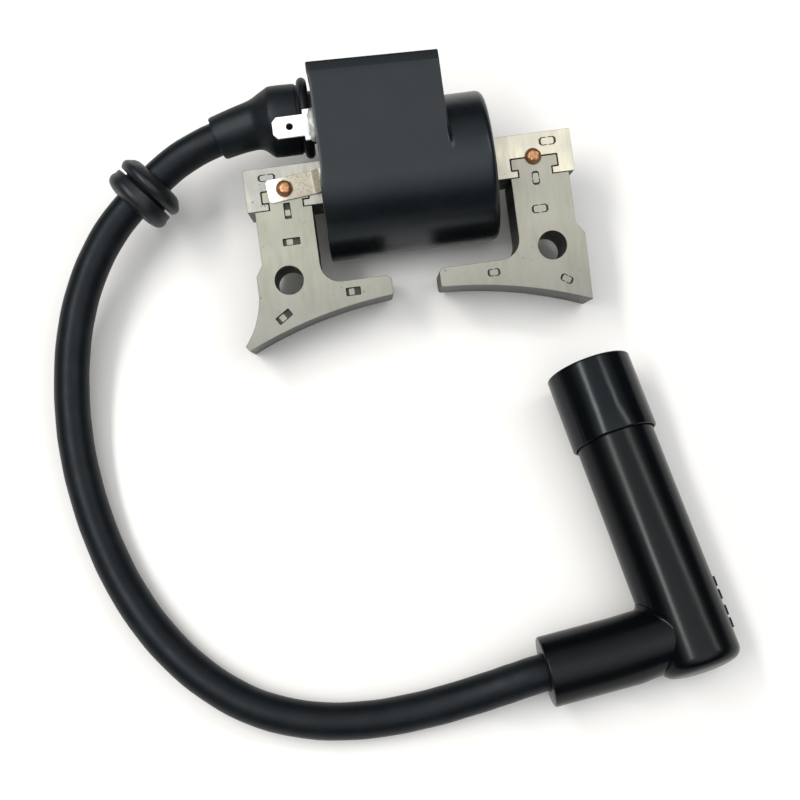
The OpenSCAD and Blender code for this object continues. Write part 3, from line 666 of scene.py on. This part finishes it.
def step_ring(a, b):
    """Ring at the box's end: a runs over its rounded edge, b over the foot of the step, from 0 to 1.
    Where the step is low it spreads into a ramp."""
    out = []
    for p, q in zip(box, inset(box, EDGE)):
        step = p.length - R
        ramp = 0 if is_low(p) else max(0, 1 - step / 1.7)
        high = p.lerp(q, min(1, step / 0.6) * (1 - math.cos(math.pi / 2 * a)) if step > 0 else 0)
        x = BOX_END - EDGE * (1 - math.sin(math.pi / 2 * a)) - 1.2 * ramp * (1 - a)
        if b:
            foot = min(step, FOOT) * (1 - math.sin(math.pi / 2 * b)) if step > 0 else 0
            high = p.normalized() * (R + foot)
            x = BOX_END + FOOT * (1 - math.cos(math.pi / 2 * b)) * (1 - ramp) + 1.2 * ramp * b
        out.append(Vector((x, high.x, high.y)))
    return out


for a in (0, 0.25, 0.5, 0.75, 1):
    rings.append(shell.add(step_ring(a, 0)))
for b in (0.02, 0.33, 0.67, 1):
    rings.append(shell.add(step_ring(1, b)))
round_loop = circle_of(box, R)
for x in (13.5, 15.5, END_X - 1.6):
    rings.append(shell.add(at(x, round_loop)))
for a in (15, 30, 45, 60, 75, 90):
    r = R - 1.6 * (1 - math.cos(math.radians(a)))
    rings.append(shell.add(at(END_X - 1.6 + 1.6 * math.sin(math.radians(a)), circle_of(box, r))))
for a, b in zip(rings, rings[1:]):
    shell.bridge(a, b)
slot_loop = fillet([(-4.9, -7.3, 0.3), (4.9, -7.3, 0.3), (4.9, 7.3, 0.3), (-4.9, 7.3, 0.3)], 3)
slot_out, slot_in = shell.add(at(END_X, slot_loop)), shell.add(at(END_X - WALL, slot_loop))
shell.fill([rings[-1], slot_out], flat=yz)
shell.bridge(slot_out, slot_in)
inner = [inner_mouth]
for x in (-12, BOX_END - WALL):
    inner.append(shell.add(at(x, skin(x, WALL))))
for x in (BOX_END - WALL + 0.002, END_X - WALL):
    inner.append(shell.add(at(x, circle_of(box, R - WALL))))
for a, b in zip(inner, inner[1:]):
    shell.bridge(a, b)
shell.fill([inner[-1], slot_in], flat=yz)
for k, face in enumerate(shell.faces):
    middle = sum((shell.verts[i] for i in face), Vector()) / len(face)
    if middle.y > top_at(middle.x) - BAND_Y and abs(middle.z) > R - 0.75:
        shell.mats[k] = 1
piece("housing", shell, COIL, "coil", [PLASTIC, BAND], ["housing_shell"], sharp=32)

# ---- Resin at the open end: a shallow pool that climbs the wall, and the pale collar at the blade ----

shell = Shell()
rim = skin(-19.4, WALL - 0.03)
middle = Vector((4, 0))
shares = [1, 0.985, 0.96, 0.92, 0.86, 0.78, 0.68, 0.56, 0.42, 0.28, 0.14]
rings = []
for s in shares:
    climb = 0.55 * max(0, 1 - (1 - s) / 0.1) ** 2
    loop = [middle + (p - middle) * s for p in rim]
    rings.append(shell.add([Vector((-19.0 - climb - 0.12 * noise.noise(Vector((p.x * 0.4, p.y * 0.4, 1))),
                                    p.x, p.y)) for p in loop]))
for a, b in zip(rings, rings[1:]):
    shell.bridge(a, b)
shell.fan(rings[-1], (-19.0, middle.x, middle.y))
back = shell.add(at(-15.2, rim))
shell.bridge(rings[0], back)
shell.fill([back], flat=yz)
piece("resin", shell, COIL, "coil", [RESIN], ["potting_resin"], sharp=60)

shell = Shell()
steps = 22
bulge = []
for j in range(1, steps):
    b = math.pi * j / steps
    bulge.append((math.sin(b) ** 0.8, -math.cos(b)))


def lump(p, k):
    d = Vector((p.x * 1.45, p.y * 3.7, p.z * 4.3))
    wobble = 1 + 0.10 * noise.noise(d * 0.55 + Vector((3, 1, 0)))
    return Vector((d.x * wobble, d.y * wobble, d.z * wobble))


lathe(shell, [(0, -4.3)] + bulge + [(0, 4.3)], Matrix.Translation((-19.9, 12.0, 11.5)), 40, shape=lump)
piece("resin_collar", shell, COIL, "coil", [MENISCUS], sharp=80)

# ---- Boot over the tower ----

BOOT_SIDES = 64
BEAD_RINGS = 12
start = COIL @ Vector((-20.4, 16.4, 0)) / MM
profile = [(0, 6.6), (0, 7.9)] + arc((1.15, 8.1), 1.15, 160, 0, 8)
profile += [(2.35, 7.75), (2.75, 7.75), (2.9, 8.05), (3.4, 8.1), (5, 8.12), (7, 8.15), (8.9, 8.1),
            (9.3, 7.95), (9.7, 7.7), (10.6, 7.1), (11.6, 6.4), (12.4, 5.95), (13.2, 5.7), (14.2, 5.55),
            (16, 5.42), (18, 5.3), (20, 5.2), (21.3, 5.15), (21.95, 5.12), (22.05, 5.05)]


def along_lead(s, x0):
    """Point on the lead s mm after the place where it passes x0, by walking along it."""
    i = next(k for k in range(len(lead_line) - 1) if lead_line[k + 1].x <= x0)
    p = lead_line[i].lerp(lead_line[i + 1], (lead_line[i].x - x0) / (lead_line[i].x - lead_line[i + 1].x))
    i += 1
    while True:
        step = (lead_line[i] - p).length
        if s <= step:
            return p.lerp(lead_line[i], s / step)
        s -= step
        p = lead_line[i]
        i += 1


def boot_shape(k, a):
    if k < BEAD_RINGS:
        return 0.05 * math.sin(3 * a)
    size = 0.07 if k < len(profile) - 2 else 0.105
    return size * noise.noise(Vector((k * 0.3, 2 * math.cos(a), 2 * math.sin(a))))


shell = Shell()
last = None
for k, (s, r) in enumerate(profile):
    p, q = along_lead(s, start.x), along_lead(s + 0.4, start.x)
    t = (q - p).normalized()
    u = (Vector((0, 0, 1)) - t.z * t).normalized()
    v = t.cross(u)
    points = []
    for i in range(BOOT_SIDES):
        a = 2 * math.pi * i / BOOT_SIDES
        rr = r + boot_shape(k, a)
        torn = 0
        if k >= len(profile) - 2:
            torn = 0.35 * noise.noise(Vector((3 * math.cos(a), 3 * math.sin(a), 5)))
        points.append(p + t * torn + rr * (math.cos(a) * u + math.sin(a) * v))
    now = shell.add(points)
    if last is None:
        shell.fan(now, p)
    else:
        shell.bridge(last, now)
    last = now
inner_end = []
for i in range(BOOT_SIDES):
    a = 2 * math.pi * i / BOOT_SIDES
    inner_end.append(p - t * 0.5 + 4.0 * (math.cos(a) * u + math.sin(a) * v))
now = shell.add(inner_end)
shell.bridge(last, now)
shell.fan(now, p - t * 0.5)
piece("boot", shell, Matrix.Scale(MM, 4), "coil", [BOOT], ["tower_boot"], sharp=40)

# ---- Grommet ----

g0, g1 = ROUTE[5], ROUTE[6]
g_axis = (g1 - g0).normalized()
g_place = (Matrix.Scale(MM, 4) @ Matrix.Translation(g0 + 0.45 * (g1 - g0))
           @ g_axis.to_track_quat("Z", "Y").to_matrix().to_4x4())
shell = Shell()
profile = [(4.2, -3.7), (4.4, -4.1), (5.0, -4.25), (6.0, -4.1), (6.9, -3.65), (7.6, -2.95)]
profile += arc((7.1, -1.65), 1.3, -50, 40, 6)
profile += [(7.95, -0.5), (7.7, -0.3), (6.0, -0.22), (5.9, 0), (6.0, 0.22), (7.7, 0.32), (7.95, 0.6)]
profile += arc((6.35, 2.55), 1.9, -32, 70, 9)
profile += [(6.1, 4.66), (5.0, 4.9), (4.4, 4.8), (4.2, 4.5)]
profile.append(profile[0])
lathe(shell, profile, n=72, shape=lambda p, k: p * (1 + 0.008 * noise.noise(p * 0.35)))
piece("grommet_ring", shell, g_place, "grommet", [GROMMET], ["grommet"], sharp=45)

# ---- Plug cap ----

ARM_R, ARM_END, ARM_BORE, ARM_ROUND = 7.5, -32, 4.06, 0.45
BAR_ROWS, BAR_HALF_WIDE, BAR_HALF_TALL = (8.6, 5.7, 2.2, -0.6), 1.6, 1.1
Y_UP = Matrix.Rotation(math.radians(-90), 4, "X")
CLOSED = [(0, 0), (2, 0.04), (4, 0.2), (5.6, 0.46), (6.6, 0.72), (7.2, 0.94), (7.7, 1.24), (8.1, 1.6),
          (8.42, 2.05), (8.62, 2.5), (8.72, 2.95), (BARREL_R, 3.5)]


def barrel_r(y):
    """Radius of the barrel along its axis, smaller over the domed closed end."""
    for (r, h), (wider, higher) in zip(CLOSED, CLOSED[1:]):
        if y - CLOSED_Y < higher:
            return r + (wider - r) * max(0, y - CLOSED_Y - h) / (higher - h)
    return BARREL_R


shell = Shell()
profile = [(r, CLOSED_Y + h) for r, h in CLOSED]
profile += [(BARREL_R, y) for y in (0, 8, 16, 24, 32, 40, 50.3)]
profile += [(7.05, 50.3), (7.05, 60.7), (5.5, 60.7), (5.5, 36), (4.6, 36), (4.6, 24), (3.05, 24),
            (3.05, -3.5), (0, -3.5)]
lathe(shell, profile, Y_UP, 128)

blend_steps, sides = 7, 96
columns = []
to_arm = Matrix.Rotation(-SKEW, 4, "Z")
for i in range(sides):
    a = 2 * math.pi * i / sides
    sy, cz = math.sin(a), math.cos(a)
    rf = 0.25 + 0.95 * min(1, max(0, (sy + 0.75) / 1.2))
    y, z = (ARM_R + rf) * sy, (ARM_R + rf) * cz
    reach = barrel_r(y) + rf
    u = -math.sqrt(max(0.01, reach ** 2 - min(abs(z), reach - 0.2) ** 2))
    x = (u - y * math.sin(SKEW)) / math.cos(SKEW)
    centre = Vector((x, y, z))
    w = -x * math.sin(SKEW) + y * math.cos(SKEW)
    k = barrel_r(y) / reach
    hit = Vector((u * k * math.cos(SKEW) - w * math.sin(SKEW),
                  u * k * math.sin(SKEW) + w * math.cos(SKEW), z * k))
    first, second = Vector((0, -sy, -cz)) * rf, hit - centre
    column = [Vector((-LEAD_STOP - 0.6, ARM_BORE * sy, ARM_BORE * cz)),
              Vector((ARM_END + 0.2, ARM_BORE * sy, ARM_BORE * cz)), Vector((ARM_END, 4.3 * sy, 4.3 * cz))]
    for r, h in arc((ARM_R - ARM_ROUND, ARM_END + ARM_ROUND), ARM_ROUND, -90, 0, 4):
        column.append(Vector((h, r * sy, r * cz)))
    start_x = column[-1].x
    for s in (0.25, 0.5, 0.75):
        column.append(Vector((start_x + (x - start_x) * s, ARM_R * sy, ARM_R * cz)))
    for s in range(blend_steps + 1):
        column.append(centre + first.slerp(second, s / blend_steps))
    inside = column[-1]
    column.append(Vector((inside.x * 0.8 - 0.2, inside.y * 0.9, inside.z * 0.8)))
    columns.append([to_arm @ p for p in column])
rings = [shell.add([columns[i][k] for i in range(sides)]) for k in range(len(columns[0]))]
for a, b in zip(rings, rings[1:]):
    shell.bridge(a, b)
shell.fan(rings[0], to_arm @ Vector((-LEAD_STOP - 0.6, 0, 0)))
shell.fan(rings[-1], (-4, 0, 0))
for y in BAR_ROWS:
    mark = []
    for r, bevel in ((BARREL_R - 0.4, 0), (BARREL_R + 0.35, 0), (BARREL_R + 0.45, 0.12)):
        a, b = BAR_HALF_WIDE - bevel, BAR_HALF_TALL - bevel
        mark.append(shell.add([(math.sqrt(r * r - a * a), y + side, z)
                               for z, side in ((-a, -b), (a, -b), (a, b), (-a, b))]))
    shell.face(mark[0][::-1])
    shell.bridge(mark[0], mark[1])
    shell.bridge(mark[1], mark[2])
    shell.face(mark[2])
piece("cap", shell, BARREL, "plug_cap", [GLOSS], ["cap_body"], sharp=38)

shell = Shell()
profile = [(5.72, 50.4), (7.15, 50.35), (8.2, 50.3), (BARREL_R + 0.02, 50.2), (BARREL_R + 0.02, SEAL_Y + 0.9),
           (9.05, SEAL_Y + 0.1)]
profile += arc((SEAL_R - 0.4, SEAL_Y + 0.4), 0.4, -90, 0, 5)
profile += [(SEAL_R, 50), (SEAL_R, 56), (SEAL_R - 0.02, MOUTH_Y - 0.5)]
profile += arc((SEAL_R - 0.5, MOUTH_Y - 0.5), 0.5, 0, 90, 6)
profile += [(7.6, MOUTH_Y), (6.2, MOUTH_Y), (5.85, MOUTH_Y - 0.3), (5.72, MOUTH_Y - 0.7)]
profile.append(profile[0])
lathe(shell, profile, Y_UP, 128)
piece("cap_collar", shell, BARREL, "plug_cap", [SEAL], ["cap_seal"], sharp=38)

# ---- Floor and light ----

FLOOR_HALF = 4
corners = [(-FLOOR_HALF, -FLOOR_HALF, 0), (FLOOR_HALF, -FLOOR_HALF, 0), (FLOOR_HALF, FLOOR_HALF, 0),
           (-FLOOR_HALF, FLOOR_HALF, 0)]
mesh = bpy.data.meshes.new("table")
mesh.from_pydata(corners, [], [(0, 1, 2, 3)])
mesh.materials.append(FLOOR)
floor = bpy.data.objects.new("table", mesh)
bpy.context.scene.collection.objects.link(floor)


def strip_light(name, place, turn, width, length, power, colour):
    """Long light that points straight down, turned by an angle in degrees."""
    light = bpy.data.lights.new(name, "AREA")
    light.shape = "RECTANGLE"
    light.size, light.size_y = width, length
    light.energy = power
    light.color = colour
    obj = bpy.data.objects.new(name, light)
    bpy.context.scene.collection.objects.link(obj)
    obj.location = place
    obj.rotation_euler = (0, 0, math.radians(turn))


strip_light("window", (-0.44, 0.06, 0.80), 0, 0.14, 0.75, 5.2, (1, 0.975, 0.93))
strip_light("lamp", (0.66, 0.07, 0.80), 66, 0.09, 0.75, 2.0, (1, 0.975, 0.93))
# The sky is bright overhead, dark at the horizon, and half as bright on the far side.
world = bpy.data.worlds.new("studio")
bpy.context.scene.world = world
world.use_nodes = True
tree = world.node_tree
background = tree.nodes["Background"]
background.inputs["Color"].default_value = (1.0, 1.0, 0.995, 1)
sky = tree.nodes.new("ShaderNodeTexCoord")
split = tree.nodes.new("ShaderNodeSeparateXYZ")
both = tree.nodes.new("ShaderNodeMath")
both.operation = "MULTIPLY"
tree.links.new(sky.outputs["Generated"], split.inputs["Vector"])
gradients = [("Z", 0.5, 0.92, 0.08, 2.15), ("Y", -0.1, 0.3, 1, 0.5)]
for k, (axis, start, end, first, second) in enumerate(gradients):
    part = tree.nodes.new("ShaderNodeMapRange")
    part.inputs["From Min"].default_value, part.inputs["From Max"].default_value = start, end
    part.inputs["To Min"].default_value, part.inputs["To Max"].default_value = first, second
    tree.links.new(split.outputs[axis], part.inputs["Value"])
    tree.links.new(part.outputs["Result"], both.inputs[k])
tree.links.new(both.outputs["Value"], background.inputs["Strength"])
